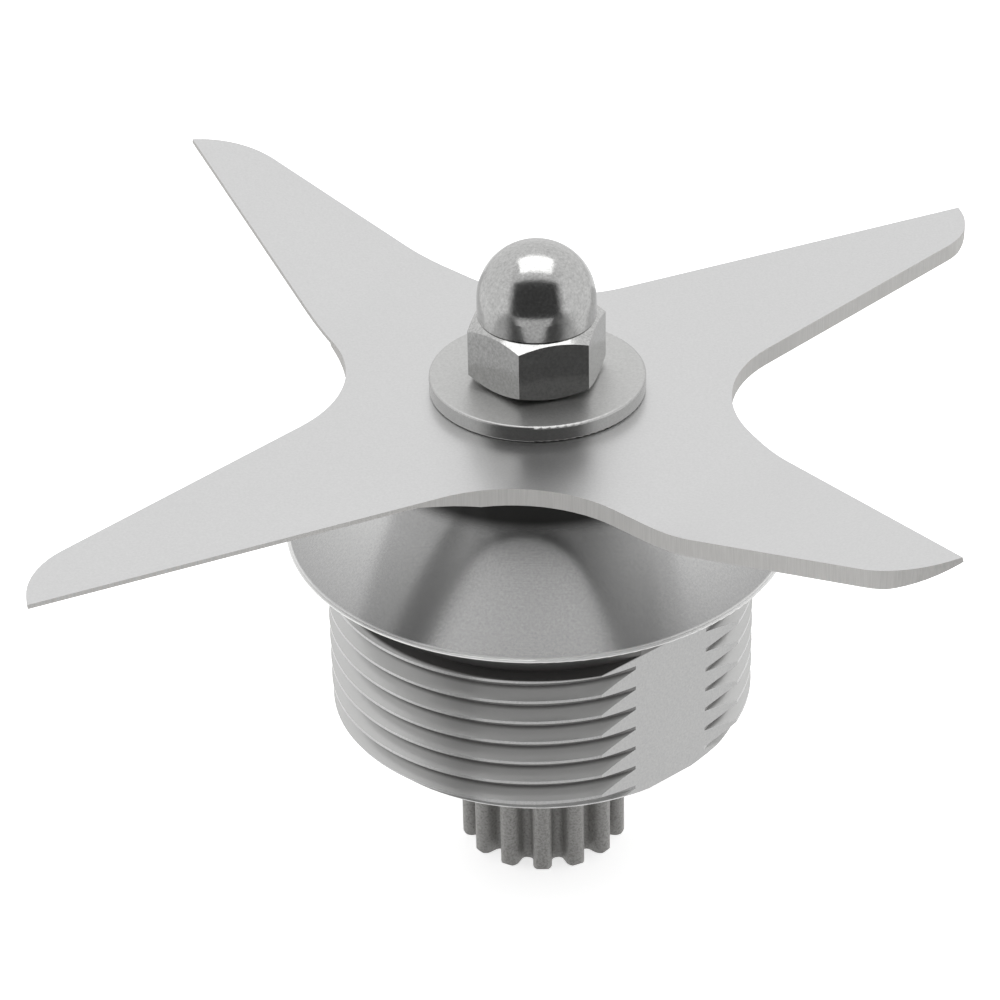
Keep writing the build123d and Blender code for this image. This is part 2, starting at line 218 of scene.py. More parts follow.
# %% Cut the gap
low_reach, low_blur = deg(48), deg(38)
high_reach, top_reach, high_blur = deg(49), deg(43), deg(7)
upper = add(tree, "ShaderNodeMapRange", {**soft, "From Min": deg(-24), "From Max": deg(-6)}, {"Value": rise})
slim = add(tree, "ShaderNodeMapRange", {"From Min": deg(20), "From Max": deg(60), "To Min": high_reach,
           "To Max": top_reach}, {"Value": lean_back})
reach = add(tree, "ShaderNodeMix", {"A": low_reach}, {"Factor": upper, "B": slim})
blur = add(tree, "ShaderNodeMix", {"A": low_blur, "B": high_blur}, {"Factor": upper})
inner = add(tree, "ShaderNodeMath", {"operation": "SUBTRACT"}, {0: reach, 1: blur})
outer = add(tree, "ShaderNodeMath", {"operation": "ADD"}, {0: reach, 1: blur})
spread = add(tree, "ShaderNodeMix", {}, {"Factor": upper, "A": aside, "B": sideways})
within = add(tree, "ShaderNodeMapRange", falling, {"Value": spread, "From Min": inner, "From Max": outer})
# The gap ends where the ceiling starts, and only the camera's side of the tent has it.
below = add(tree, "ShaderNodeMapRange", {**soft, **falling, "From Min": deg(59), "From Max": deg(67)},
            {"Value": lean_back})
front = add(tree, "ShaderNodeMapRange", {"From Min": 0.0, "From Max": 0.08}, {"Value": ahead})
low_front = add(tree, "ShaderNodeMath", {"operation": "MULTIPLY"}, {0: below, 1: front})
gap = add(tree, "ShaderNodeMath", {"operation": "MULTIPLY"}, {0: within, 1: low_front})
dark = add(tree, "ShaderNodeValToRGB", {"stops": [(0.0, "#1a1a1a"), (1.0, "#4a4a4a")]}, {"Fac": upper})
print("degrees the gap reaches aside:", [round(math.degrees(a)) for a in (low_reach, high_reach, top_reach)])

# %% [markdown]
# ## Ceiling, table and soft box
# A slightly grey ceiling hangs between the gap and the soft box, and the front of the lit table shows
# under the gap. The floor plane could give that last reflection, but it would also brighten every other
# low reflection. So the tent holds a lit strip instead. The soft box is an area light above the part.

# %% Hang the ceiling and light the table
tent_strength = 1.05
ceiling = add(tree, "ShaderNodeMapRange", {**soft, **falling, "From Min": deg(90), "From Max": deg(110)},
              {"Value": lean_back})
overhead = add(tree, "ShaderNodeMath", {"operation": "MULTIPLY"}, {0: within, 1: ceiling})
dim = add(tree, "ShaderNodeMix", {"data_type": "RGBA", "A": linear("#fafafa"), "B": linear("#e8e8e8")},
          {"Factor": overhead})
table_top = add(tree, "ShaderNodeMapRange", {**soft, **falling, "From Min": deg(-15), "From Max": deg(-11)},
                {"Value": rise})
table_end = add(tree, "ShaderNodeMapRange", {**soft, "From Min": deg(-62), "From Max": deg(-46)},
                {"Value": rise})
table_side = add(tree, "ShaderNodeMapRange", {**falling, "From Min": deg(33), "From Max": deg(39)},
                 {"Value": aside})
strip = add(tree, "ShaderNodeMath", {"operation": "MULTIPLY"}, {0: table_top, 1: table_end})
lit_table = add(tree, "ShaderNodeMath", {"operation": "MULTIPLY"}, {0: strip, 1: table_side})
tent_tone = add(tree, "ShaderNodeMix", {"data_type": "RGBA"}, {"Factor": gap, "A": dim, "B": dark})
walls = add(tree, "ShaderNodeMix", {"data_type": "RGBA", "B": linear("#d8d8d8")},
            {"Factor": lit_table, "A": tent_tone})
sky = tree.nodes["Background"]
sky.inputs["Strength"].default_value = tent_strength
join(tree, sky, Color=walls)
print("tent nodes:", len(tree.nodes))

# %% Hang the soft box
box_data = bpy.data.lights.new("overhead_softbox", "AREA")
box_data.shape = "RECTANGLE"
box_data.size, box_data.size_y = 0.44, 0.30
box_data.energy = 0.61
softbox = bpy.data.objects.new("overhead_softbox", box_data)
softbox.location = (0.0, 0.07, 0.45)
scene.collection.objects.link(softbox)
box_brightness = box_data.energy / (math.pi * box_data.size * box_data.size_y)
print("soft box brightness against the walls:", round(box_brightness / tent_strength, 2))

# %% [markdown]
# ## Blade steel
# The blade is stamped from hard stainless sheet, ground under its leading edges and tumbled. Tumbling
# leaves a satin grain with no direction. The punched edges are matt with upright tool marks, and the
# ground bevels have short scratches square to the edge. These could be three materials on three sets of
# faces, but the surface's own normal already tells them apart, so one finish holds all three. First the
# script looks for the bevels: large faces under the blade with no parallel face on top.

# %% Find the ground bevels
least_area = 40  # square millimetres
faces = {}
for face in nodes["blade"].data.polygons:
    way = tuple(round(c, 2) for c in face.normal)
    faces[way] = faces.get(way, 0.0) + face.area / mm ** 2
bevel_ways = [way for way, area in faces.items()
              if way[2] < -0.5 and area > least_area and tuple(-c for c in way) not in faces]
print("ground bevels face", bevel_ways)

# %% Tumbled sheet, punched edge and ground bevel
# Satin stainless: a soft grey mirror with a fine even sparkle, and duller where it was cut.
blade_steel, tree, shader, place = start_finish("tumbled_stainless_sheet")
spot, way = place["Object"], place["Normal"]
upright = add(tree, "ShaderNodeSeparateXYZ", {}, {"Vector": way}).outputs["Z"]
level = add(tree, "ShaderNodeMath", {"operation": "ABSOLUTE"}, {0: upright})
cut = add(tree, "ShaderNodeMapRange", {**falling, "From Min": 0.3, "From Max": 0.7}, {"Value": level})
nearest = None
for bevel in bevel_ways:
    match = add(tree, "ShaderNodeVectorMath", {"operation": "DOT_PRODUCT", 1: bevel}, {0: way})
    link = {0: match} if nearest is None else {0: match, 1: nearest}
    nearest = add(tree, "ShaderNodeMath", {"operation": "MAXIMUM", 1: -1.0}, link)
ground = add(tree, "ShaderNodeMapRange", {"From Min": 0.997, "From Max": 0.999}, {"Value": nearest})
# Grain of about 0.16 mm: the real one is finer, and this is the finest that shows in the picture.
grain = add(tree, "ShaderNodeTexNoise", {"Scale": 1 / (0.16 * mm), "Detail": 3.0, "Roughness": 0.6},
            {"Vector": spot})
cloud = add(tree, "ShaderNodeTexNoise", {"Scale": 1 / (9 * mm), "Detail": 2.0}, {"Vector": spot})
# Punch marks: 0.08 mm apart, and taller than the sheet is thick.
tall = add(tree, "ShaderNodeMapping", {"Scale": (1.0, 1.0, 0.03)}, {"Vector": spot})
marks = add(tree, "ShaderNodeTexNoise", {"Scale": 1 / (0.08 * mm), "Detail": 2.0}, {"Vector": tall})
# Grinding scratches: 0.1 mm apart, counted along the cutting edge, which lies square to the slope.
edge_way = add(tree, "ShaderNodeVectorMath", {"operation": "CROSS_PRODUCT", 1: (0.0, 0.0, 1.0)}, {0: way})
edge_unit = add(tree, "ShaderNodeVectorMath", {"operation": "NORMALIZE"}, {0: edge_way})
along = add(tree, "ShaderNodeVectorMath", {"operation": "DOT_PRODUCT"}, {0: spot, 1: edge_unit})
scratch_spot = add(tree, "ShaderNodeCombineXYZ", {}, {"X": along})
scratches = add(tree, "ShaderNodeTexNoise", {"Scale": 1 / (0.1 * mm), "Detail": 3.0},
                {"Vector": scratch_spot})
print("blade finish nodes:", len(tree.nodes))

# %% Mix the three blade surfaces
sheet_tone = add(tree, "ShaderNodeValToRGB", {"stops": [(0.25, "#cbcbcb"), (0.75, "#d4d4d4")]},
                 {"Fac": grain})
cut_tone = add(tree, "ShaderNodeValToRGB", {"stops": [(0.3, "#b5b4b2"), (0.7, "#c0bfbd")]}, {"Fac": marks})
tone = add(tree, "ShaderNodeMix", {"data_type": "RGBA"}, {"Factor": cut, "A": sheet_tone, "B": cut_tone})
satin = add(tree, "ShaderNodeMapRange", {"To Min": 0.27, "To Max": 0.35}, {"Value": cloud})
# The underside keeps more of the bright face of the rolled sheet.
below_side = add(tree, "ShaderNodeMapRange", {**falling, "From Min": -0.7, "From Max": -0.4},
                 {"Value": upright})
rolled_roughness, torn_roughness = 0.13, 0.85
sheet_rough = add(tree, "ShaderNodeMix", {"B": rolled_roughness}, {"Factor": below_side, "A": satin})
rough = add(tree, "ShaderNodeMix", {"B": torn_roughness}, {"Factor": cut, "A": sheet_rough})
relief = add(tree, "ShaderNodeMix", {}, {"Factor": cut, "A": grain, "B": marks})
depth = add(tree, "ShaderNodeMix", {}, {"Factor": ground, "A": relief, "B": scratches})
# The punch tears the lower half of the edge inwards, so it leans down and catches light from the table.
edge_lean = -0.8
roll = add(tree, "ShaderNodeMath", {"operation": "MULTIPLY", 1: edge_lean}, {0: cut})
lift = add(tree, "ShaderNodeCombineXYZ", {}, {"Z": roll})
rolled = add(tree, "ShaderNodeVectorMath", {"operation": "ADD"}, {0: way, 1: lift})
rolled_unit = add(tree, "ShaderNodeVectorMath", {"operation": "NORMALIZE"}, {0: rolled})
to_world = {"vector_type": "NORMAL", "convert_from": "OBJECT", "convert_to": "WORLD"}
rolled_way = add(tree, "ShaderNodeVectorTransform", to_world, {"Vector": rolled_unit})
bump = add(tree, "ShaderNodeBump", {"Strength": 0.3, "Distance": 0.012 * mm},
           {"Height": depth, "Normal": rolled_way})
# A torn edge scatters light more than it mirrors it, so it is only partly metallic.
edge_metallic = 0.25
metal = add(tree, "ShaderNodeMix", {"A": 1.0, "B": edge_metallic}, {"Factor": cut})
join(tree, shader, Base_Color=tone, Metallic=metal, Roughness=rough, Normal=bump)
print("blade finish mixed, nodes:", len(tree.nodes))

# %% [markdown]
# ## Turned stainless
# The housing is turned on a lathe and its two flats are milled. The tool leaves fine rings round the
# axis, so light smears across the rings and the cone shows soft bright and dark lobes that point at its
# middle. Real grooves this fine would need far too many samples. Anisotropic gloss gives the lobes, and
# a noise read only along the radius and the height gives the rings. The flats get straight marks.

# %% Rings and milled flats
# Lathe-turned stainless: grey, with lobes of light on the cone, bright upright lands and dull flanks.
turned_steel, tree, shader, place = start_finish("turned_stainless_steel", Anisotropic=0.4,
                                                 Anisotropic_Rotation=0.25)
spot, way = place["Object"], place["Normal"]
axes = add(tree, "ShaderNodeSeparateXYZ", {}, {"Vector": spot}).outputs
height = axes["Z"]
flat_spot = add(tree, "ShaderNodeCombineXYZ", {}, {"X": axes["X"], "Y": axes["Y"]})
radius = add(tree, "ShaderNodeVectorMath", {"operation": "LENGTH"}, {0: flat_spot})
across = add(tree, "ShaderNodeCombineXYZ", {}, {"X": radius, "Y": height})
# Feed rings: 0.07 mm apart, about one pixel in the picture.
rings = add(tree, "ShaderNodeTexNoise", {"Scale": 1 / (0.07 * mm), "Detail": 1.0}, {"Vector": across})
# One flat faces the front and right, and the other lies opposite.
flat_turn = deg(-48)
flat_way = (math.cos(flat_turn), math.sin(flat_turn), 0.0)
facing = add(tree, "ShaderNodeVectorMath", {"operation": "DOT_PRODUCT", 1: flat_way}, {0: way})
both = add(tree, "ShaderNodeMath", {"operation": "ABSOLUTE"}, {0: facing})
milled = add(tree, "ShaderNodeMapRange", {"From Min": 0.992, "From Max": 0.998}, {"Value": both})
# Milling marks on the flats: upright, 0.2 mm apart.
tall = add(tree, "ShaderNodeMapping", {"Scale": (1.0, 1.0, 0.06)}, {"Vector": spot})
mill = add(tree, "ShaderNodeTexNoise", {"Scale": 1 / (0.2 * mm), "Detail": 2.0}, {"Vector": tall})
lines = add(tree, "ShaderNodeMix", {}, {"Factor": milled, "A": rings, "B": mill})
grain = add(tree, "ShaderNodeTexNoise", {"Scale": 1 / (0.14 * mm), "Detail": 3.0}, {"Vector": spot})
tone = add(tree, "ShaderNodeValToRGB", {"stops": [(0.3, "#c0c0c0"), (0.7, "#cdcdcc")]}, {"Fac": grain})
print("rings and flats, nodes:", len(tree.nodes))

# %% Lands and thread flanks
# Where the surface is: under the lip or on the cone, upright or sloping, and on a flank that faces up.
tilt = add(tree, "ShaderNodeSeparateXYZ", {}, {"Vector": way}).outputs["Z"]
under = add(tree, "ShaderNodeMapRange", {**falling, "From Min": 0.0, "From Max": 0.3 * mm}, {"Value": height})
facing_up = add(tree, "ShaderNodeMapRange", {"From Min": 0.3, "From Max": 0.6}, {"Value": tilt})
not_level = add(tree, "ShaderNodeMapRange", {**falling, "From Min": 0.92, "From Max": 0.97}, {"Value": tilt})
sloping = add(tree, "ShaderNodeMath", {"operation": "MULTIPLY"}, {0: facing_up, 1: not_level})
flank = add(tree, "ShaderNodeMath", {"operation": "MULTIPLY"}, {0: under, 1: sloping})
slope = add(tree, "ShaderNodeMath", {"operation": "ABSOLUTE"}, {0: tilt})
land = add(tree, "ShaderNodeMapRange", {"From Min": 0.2, "From Max": 0.4, "To Min": 0.22, "To Max": 0.24},
           {"Value": slope})
milled_roughness = 0.46
rough = add(tree, "ShaderNodeMix", {"B": milled_roughness}, {"Factor": milled, "A": land})
# Thread flanks are torn by the cutting tool and scatter light, so they are only partly metallic.
flank_metallic = 0.6
bare_metal = add(tree, "ShaderNodeMix", {"A": 1.0, "B": flank_metallic}, {"Factor": flank})
torn = add(tree, "ShaderNodeMix", {"data_type": "RGBA", "B": linear("#d0d0cf")}, {"Factor": flank, "A": tone})
print("lands and flanks, nodes:", len(tree.nodes))

# %% [markdown]
# ## Hollow cone
# The streaks on the cone run the way they do where the tool has turned it very slightly hollow: its slope
# falls from the top to the lip. The solid is a little fuller there. A CAD mesh isn't changed in this
# script, so only the normal that the shader uses is leaned to that slope, and the ring bump rides on it.

# %% Lean the cone's normal
cone_top, cone_foot = 8.8 * mm, 16.7 * mm
steep, shallow = deg(46), deg(36.5)
fall = add(tree, "ShaderNodeMapRange", {"From Min": cone_top, "From Max": cone_foot, "To Min": steep,
           "To Max": shallow}, {"Value": radius})
lean = add(tree, "ShaderNodeMath", {"operation": "TANGENT"}, {0: fall})
outward = add(tree, "ShaderNodeVectorMath", {"operation": "NORMALIZE"}, {0: flat_spot})
leaning = add(tree, "ShaderNodeVectorMath", {"operation": "SCALE"}, {0: outward, "Scale": lean})
hollow = add(tree, "ShaderNodeVectorMath", {"operation": "ADD", 1: (0.0, 0.0, 1.0)}, {0: leaning})
hollow_unit = add(tree, "ShaderNodeVectorMath", {"operation": "NORMALIZE"}, {0: hollow})
on_top = add(tree, "ShaderNodeMapRange", {"From Min": 0.2 * mm, "From Max": 0.35 * mm}, {"Value": height})
cone = add(tree, "ShaderNodeMath", {"operation": "MULTIPLY"}, {0: on_top, 1: sloping})
shaped = add(tree, "ShaderNodeMix", {"data_type": "VECTOR"}, {"Factor": cone, "A": way, "B": hollow_unit})
turned_way = add(tree, "ShaderNodeVectorTransform", to_world, {"Vector": shaped})
bump = add(tree, "ShaderNodeBump", {"Strength": 0.12, "Distance": 0.01 * mm},
           {"Height": lines, "Normal": turned_way})
round_way = add(tree, "ShaderNodeTangent", {"direction_type": "RADIAL", "axis": "Z"})
print("cone slope in degrees:", [round(math.degrees(a), 1) for a in (steep, shallow)])

# %% [markdown]
# ## Painted shade in the hollows
# The groove under the lip, the thread's root and the corner at the top of the cone lie in shade, and
# that shade is painted into their colour as a dark grey with less metal. These could be materials of
# their own, but the painted shade fades out in the middle of a face. So masks along the radius and the
# height say where it lies, and the colour and the metallic value follow them.

# %% Place the painted shade
# Heights of the groove and the thread, and radii of the bore's side, the collar and the thread's root.
groove_floor, groove_roof, thread_end = -3.2 * mm, -0.05 * mm, -12.9 * mm
bore_side, collar_inner, collar_outer = 12 * mm, 10.2 * mm, 11.2 * mm
root_radius, root_fade = 13.38 * mm, 13.6 * mm
# Painted shade goes into the groove under the lip and into the corner at the top of the cone.
deep = add(tree, "ShaderNodeMapRange", {"From Min": groove_floor, "From Max": -3.12 * mm}, {"Value": height})
under_lip = add(tree, "ShaderNodeMapRange", {**falling, "From Min": groove_roof, "From Max": 0.0},
                {"Value": height})
outside = add(tree, "ShaderNodeMapRange", {"From Min": bore_side, "From Max": 12.5 * mm},
              {"Value": radius})
groove_band = add(tree, "ShaderNodeMath", {"operation": "MULTIPLY"}, {0: deep, 1: under_lip})
groove = add(tree, "ShaderNodeMath", {"operation": "MULTIPLY"}, {0: groove_band, 1: outside})
near_blade = add(tree, "ShaderNodeMapRange", {**soft, **falling, "From Min": collar_inner,
                 "From Max": collar_outer}, {"Value": radius})
collar = add(tree, "ShaderNodeMath", {"operation": "MULTIPLY"}, {0: near_blade, 1: cone})
shaded_hollows = add(tree, "ShaderNodeMath", {"operation": "MAXIMUM"}, {0: groove, 1: collar})
# In the thread's root the painted shade shows as a thin dark line under every crest.
root_deep = add(tree, "ShaderNodeMapRange", {"From Min": root_radius, "From Max": root_fade, "To Min": 0.8,
                "To Max": 0.0}, {"Value": radius})
on_thread = add(tree, "ShaderNodeMapRange", {"From Min": thread_end, "From Max": -12.75 * mm},
                {"Value": height})
round_side = add(tree, "ShaderNodeMath", {"operation": "SUBTRACT", 0: 1.0}, {1: milled})
root_side = add(tree, "ShaderNodeMath", {"operation": "MULTIPLY"}, {0: round_side, 1: on_thread})
root_ring = add(tree, "ShaderNodeMath", {"operation": "MULTIPLY"}, {0: root_deep, 1: outside})
root_low = add(tree, "ShaderNodeMath", {"operation": "MULTIPLY"}, {0: root_ring, 1: under})
root = add(tree, "ShaderNodeMath", {"operation": "MULTIPLY"}, {0: root_low, 1: root_side})
painted_shade_mask = add(tree, "ShaderNodeMath", {"operation": "MAXIMUM"}, {0: shaded_hollows, 1: root})
print("film placed, nodes:", len(tree.nodes))

# %% Cone darker towards the lip, painted lip highlight and painted shade
# The cone's colour gets darker towards its lip.
toward_lip = add(tree, "ShaderNodeMapRange", {"From Min": 12.5 * mm, "From Max": 16.6 * mm}, {"Value": radius})
cone_toward_lip = add(tree, "ShaderNodeMath", {"operation": "MULTIPLY"}, {0: toward_lip, 1: cone})
darker_to_lip = add(tree, "ShaderNodeMix", {"data_type": "RGBA", "blend_type": "MULTIPLY", "B": linear("#d9d9d9")},
           {"Factor": cone_toward_lip, "A": torn})
# The lip's sharp edge is broken with a stone. Its gleam is a painted highlight: the outer ring of the lip
# gets a lighter, less metallic colour that shows as one thin line.
lip_highlight_ring = add(tree, "ShaderNodeMapRange", {"From Min": 16.58 * mm, "From Max": 16.64 * mm}, {"Value": radius})
painted_lip_highlight = add(tree, "ShaderNodeMix", {"data_type": "RGBA", "B": linear("#ececeb")},
             {"Factor": lip_highlight_ring, "A": darker_to_lip})
# Painted shade: a dark grey in the groove and the thread's root, and a darker one at the top of the cone.
painted_shade_tone = add(tree, "ShaderNodeMix", {"data_type": "RGBA", "A": linear("#737271"), "B": linear("#3c3c3b")},
                {"Factor": collar})
painted_shade = add(tree, "ShaderNodeMix", {"data_type": "RGBA"}, {"Factor": painted_shade_mask, "A": painted_lip_highlight, "B": painted_shade_tone})
# The painted lip highlight and the painted shade both take a lower metallic value.
lip_highlight_metallic, painted_shade_metallic = 0.3, 0.5
lip_highlight_metal = add(tree, "ShaderNodeMix", {"B": lip_highlight_metallic}, {"Factor": lip_highlight_ring, "A": bare_metal})
metal = add(tree, "ShaderNodeMix", {"B": painted_shade_metallic}, {"Factor": painted_shade_mask, "A": lip_highlight_metal})
join(tree, shader, Base_Color=painted_shade, Metallic=metal, Roughness=rough, Normal=bump, Tangent=round_way)
print("housing finish nodes:", len(tree.nodes))

# %% [markdown]
# ## Nut and washer
# The cap nut is cold formed and polished, so it mirrors the tent, with a little haze and a few pits
# left over from forming. The washer is punched and barrel polished: satin on its faces, with a smoother,
# finely marked rim. Both start from bright steel, and differ in their roughness and in their marks.

# %% Polished nut
# Polished stainless: nearly a mirror, with a light haze that softens the edges of what it reflects.
nut_steel, tree, shader, place = start_finish("polished_stainless_steel", Metallic=1.0)
spot = place["Object"]
haze = add(tree, "ShaderNodeTexNoise", {"Scale": 1 / (0.45 * mm), "Detail": 4.0}, {"Vector": spot})
pits = add(tree, "ShaderNodeTexNoise", {"Scale": 1 / (0.2 * mm), "Detail": 4.0, "Roughness": 0.65},
           {"Vector": spot})
tone = add(tree, "ShaderNodeValToRGB", {"stops": [(0.3, "#a6a6a5"), (0.7, "#c6c6c5")]}, {"Fac": pits})
rough = add(tree, "ShaderNodeMapRange", {"From Min": 0.3, "From Max": 0.7, "To Min": 0.12, "To Max": 0.2},
            {"Value": haze})
bump = add(tree, "ShaderNodeBump", {"Strength": 0.35, "Distance": 0.012 * mm}, {"Height": pits})
join(tree, shader, Base_Color=tone, Roughness=rough, Normal=bump)
print("nut finish nodes:", len(tree.nodes))

# %% Barrel-polished washer
# Satin stainless: soft reflections on the faces, and short upright marks of the punch on the rim.
washer_steel, tree, shader, place = start_finish("barrel_polished_stainless_steel", Metallic=1.0)
spot, way = place["Object"], place["Normal"]
upright = add(tree, "ShaderNodeSeparateXYZ", {}, {"Vector": way}).outputs["Z"]
level = add(tree, "ShaderNodeMath", {"operation": "ABSOLUTE"}, {0: upright})
rim = add(tree, "ShaderNodeMapRange", {**falling, "From Min": 0.2, "From Max": 0.5}, {"Value": level})
grain = add(tree, "ShaderNodeTexNoise", {"Scale": 1 / (0.15 * mm), "Detail": 3.0}, {"Vector": spot})
tall = add(tree, "ShaderNodeMapping", {"Scale": (1.0, 1.0, 0.05)}, {"Vector": spot})
marks = add(tree, "ShaderNodeTexNoise", {"Scale": 1 / (0.15 * mm), "Detail": 2.0}, {"Vector": tall})
tone = add(tree, "ShaderNodeValToRGB", {"stops": [(0.3, "#b8b8b7"), (0.7, "#c4c4c3")]}, {"Fac": grain})
face_roughness, rim_roughness = 0.44, 0.22
rough = add(tree, "ShaderNodeMix", {"A": face_roughness, "B": rim_roughness}, {"Factor": rim})
depth = add(tree, "ShaderNodeMix", {}, {"Factor": rim, "A": grain, "B": marks})
bump = add(tree, "ShaderNodeBump", {"Strength": 0.25, "Distance": 0.01 * mm}, {"Height": depth})
join(tree, shader, Base_Color=tone, Roughness=rough, Normal=bump)
print("washer finish nodes:", len(tree.nodes))

# %% [markdown]
# ## Sintered coupling
# The toothed coupling is pressed from steel powder and sintered. It isn't polished afterwards: the skin
# is grey, matt and full of fine pores, and the oxide on it scatters light the way stone does. So it is
# only partly metallic, with a pore pattern in both colour and bump.

# %% Sintered steel
# Sintered steel: an even, grainy mid grey with no clear reflections.
sinter_steel, tree, shader, place = start_finish("sintered_steel", Metallic=0.35, Roughness=0.55)
pores = add(tree, "ShaderNodeTexNoise", {"Scale": 1 / (0.16 * mm), "Detail": 4.0, "Roughness": 0.65},
            {"Vector": place["Object"]})
tone = add(tree, "ShaderNodeValToRGB", {"stops": [(0.3, "#7b7a77"), (0.5, "#969593"), (0.7, "#a6a5a3")]},
           {"Fac": pores})
bump = add(tree, "ShaderNodeBump", {"Strength": 0.5, "Distance": 0.03 * mm}, {"Height": pores})
join(tree, shader, Base_Color=tone, Normal=bump)
print("sintered finish nodes:", len(tree.nodes))

# %% [markdown]
# ## Inner parts
# Behind the coupling and under the blade sit the spindle, two ball bearings, a lip seal and a spring
# ring. Little of them shows, but each is a different stuff: ground steel, bright bearing steel, pressed
# sheet, nylon, nitrile rubber and phosphated spring steel. One short recipe covers them all. A noise of
# a given grain size changes the colour between two tones, and the same noise gives a fine bump.

# %% Finishes of the inner parts
inner_finishes = {}
for name, tones, grain_size, metallic, roughness, bump_height in (
    ("ground_shaft_steel", ("#b4b4b3", "#c4c4c3"), 0.12, 1.0, 0.25, 0.006),     # fine dull shine
    ("polished_bearing_steel", ("#c8c8c8", "#d4d4d4"), 0.3, 1.0, 0.10, 0.002),  # clear mirror
    ("pressed_shield_steel", ("#a8a8a6", "#b8b8b6"), 0.4, 1.0, 0.35, 0.01),     # soft satin
    ("glass_filled_nylon", ("#d6cdb4", "#e2d9c2"), 0.2, 0.0, 0.5, 0.01),        # warm ivory, matt
    ("nitrile_rubber", ("#1b1b1c", "#262627"), 0.25, 0.0, 0.65, 0.015),         # near black, matt
    ("phosphated_spring_steel", ("#2e2e30", "#414144"), 0.15, 0.6, 0.5, 0.01),  # dark grey, dry
):
    finish, tree, shader, place = start_finish(name, Metallic=metallic, Roughness=roughness)
    grain = add(tree, "ShaderNodeTexNoise", {"Scale": 1 / (grain_size * mm), "Detail": 3.0},
                {"Vector": place["Object"]})
    tone = add(tree, "ShaderNodeValToRGB", {"stops": [(0.3, tones[0]), (0.7, tones[1])]}, {"Fac": grain})
    bump = add(tree, "ShaderNodeBump", {"Strength": 0.3, "Distance": bump_height * mm}, {"Height": grain})
    join(tree, shader, Base_Color=tone, Normal=bump)
    inner_finishes[name] = finish
print("inner finishes:", sorted(inner_finishes))

# %% [markdown]
# ## Dressing the solids
# Every CAD node keeps its shape and takes one finish, chosen by name. Bearing parts repeat in the upper
# and the lower bearing, so they are matched by the end of their names.

# %% Hand out the finishes
shaft_steel = inner_finishes["ground_shaft_steel"]
bearing_steel = inner_finishes["polished_bearing_steel"]
shield_steel = inner_finishes["pressed_shield_steel"]
wanted = {
    "blade": blade_steel, "cap_nut": nut_steel, "blade_washer": washer_steel,
    "bearing_housing": turned_steel, "drive_spline": sinter_steel,
    "blade_spacer": shaft_steel, "drive_shaft": shaft_steel,
    "bearing_inner_spacer": shaft_steel, "bearing_outer_spacer": shaft_steel,
    "inner_race": bearing_steel, "outer_race": bearing_steel, "balls": bearing_steel,
    "cage": inner_finishes["glass_filled_nylon"], "shields": shield_steel,
    "shaft_seal_case": shield_steel, "shaft_seal_lip": inner_finishes["nitrile_rubber"],
    "shaft_seal_spring": shaft_steel, "housing_retaining_ring": inner_finishes["phosphated_spring_steel"],
}
for name, node in nodes.items():
    use = wanted.get(name) or wanted[name.split("bearing_")[-1]]
    for slot in node.material_slots:
        slot.material = use
    print(name, "->", use.name)

# %% [markdown]
# ## Growing pieces with Geometry Nodes
# Two kinds of small part follow a rule: the seal's spring is one wire wound over a hundred times round
# a ring, and each bearing holds eight equal balls on a circle. Modelling them by hand would be slow and
# hard to change. A node tree with named sizes makes each from its rule. The helpers below start such a
# tree, run it on an empty mesh and keep the plain result.

# %% Helpers that start and run a tree
def start_tree(name, inputs):
    """A geometry tree with named inputs and one geometry output."""
    tree = bpy.data.node_groups.new(name, "GeometryNodeTree")
    tree.interface.new_socket("Geometry", in_out="OUTPUT", socket_type="NodeSocketGeometry")
    for label, kind in inputs:
        tree.interface.new_socket(label, in_out="INPUT", socket_type="NodeSocket" + kind)
    return tree, add(tree, "NodeGroupInput").outputs, add(tree, "NodeGroupOutput")


def end_tree(tree, end, geometry, finish):
    """Shades the geometry smooth, makes its instances real, gives it a finish and joins it to the end."""
    smooth = add(tree, "GeometryNodeSetShadeSmooth", {}, {"Geometry": geometry})
    real = add(tree, "GeometryNodeRealizeInstances", {}, {"Geometry": smooth})
    finished = add(tree, "GeometryNodeSetMaterial", {}, {"Geometry": real, "Material": finish})
    tree.links.new(finished.outputs[0], end.inputs[0])


def grow(name, tree, sizes):
    """Runs a geometry tree with its inputs set by identifier, and leaves a plain mesh at the origin."""
    piece = bpy.data.objects.new(name, bpy.data.meshes.new(name))
    scene.collection.objects.link(piece)
    step = piece.modifiers.new(name, "NODES")
    step.node_group = tree
    for item in tree.interface.items_tree:
        if item.in_out == "INPUT" and item.name in sizes:
            step[item.identifier] = sizes[item.name]
    seen = piece.evaluated_get(bpy.context.evaluated_depsgraph_get())
    made = bpy.data.meshes.new_from_object(seen)
    piece.modifiers.remove(step)
    piece.data = made
    print(name, "faces:", len(made.polygons))
    return piece


print("tree helpers:", start_tree.__name__, end_tree.__name__, grow.__name__)

# %% [markdown]
# ## Garter spring
# A lip seal is pressed to its sleeve by a garter spring: a fine wire wound into a long coil whose ends
# are joined to a ring. CAD stands in for it with a plain ring of the coil's size. A circle with a dozen
# points for each winding is pushed out and up by the cosine and the sine of the winding angle, and the
# bent line gets the wire's round section.

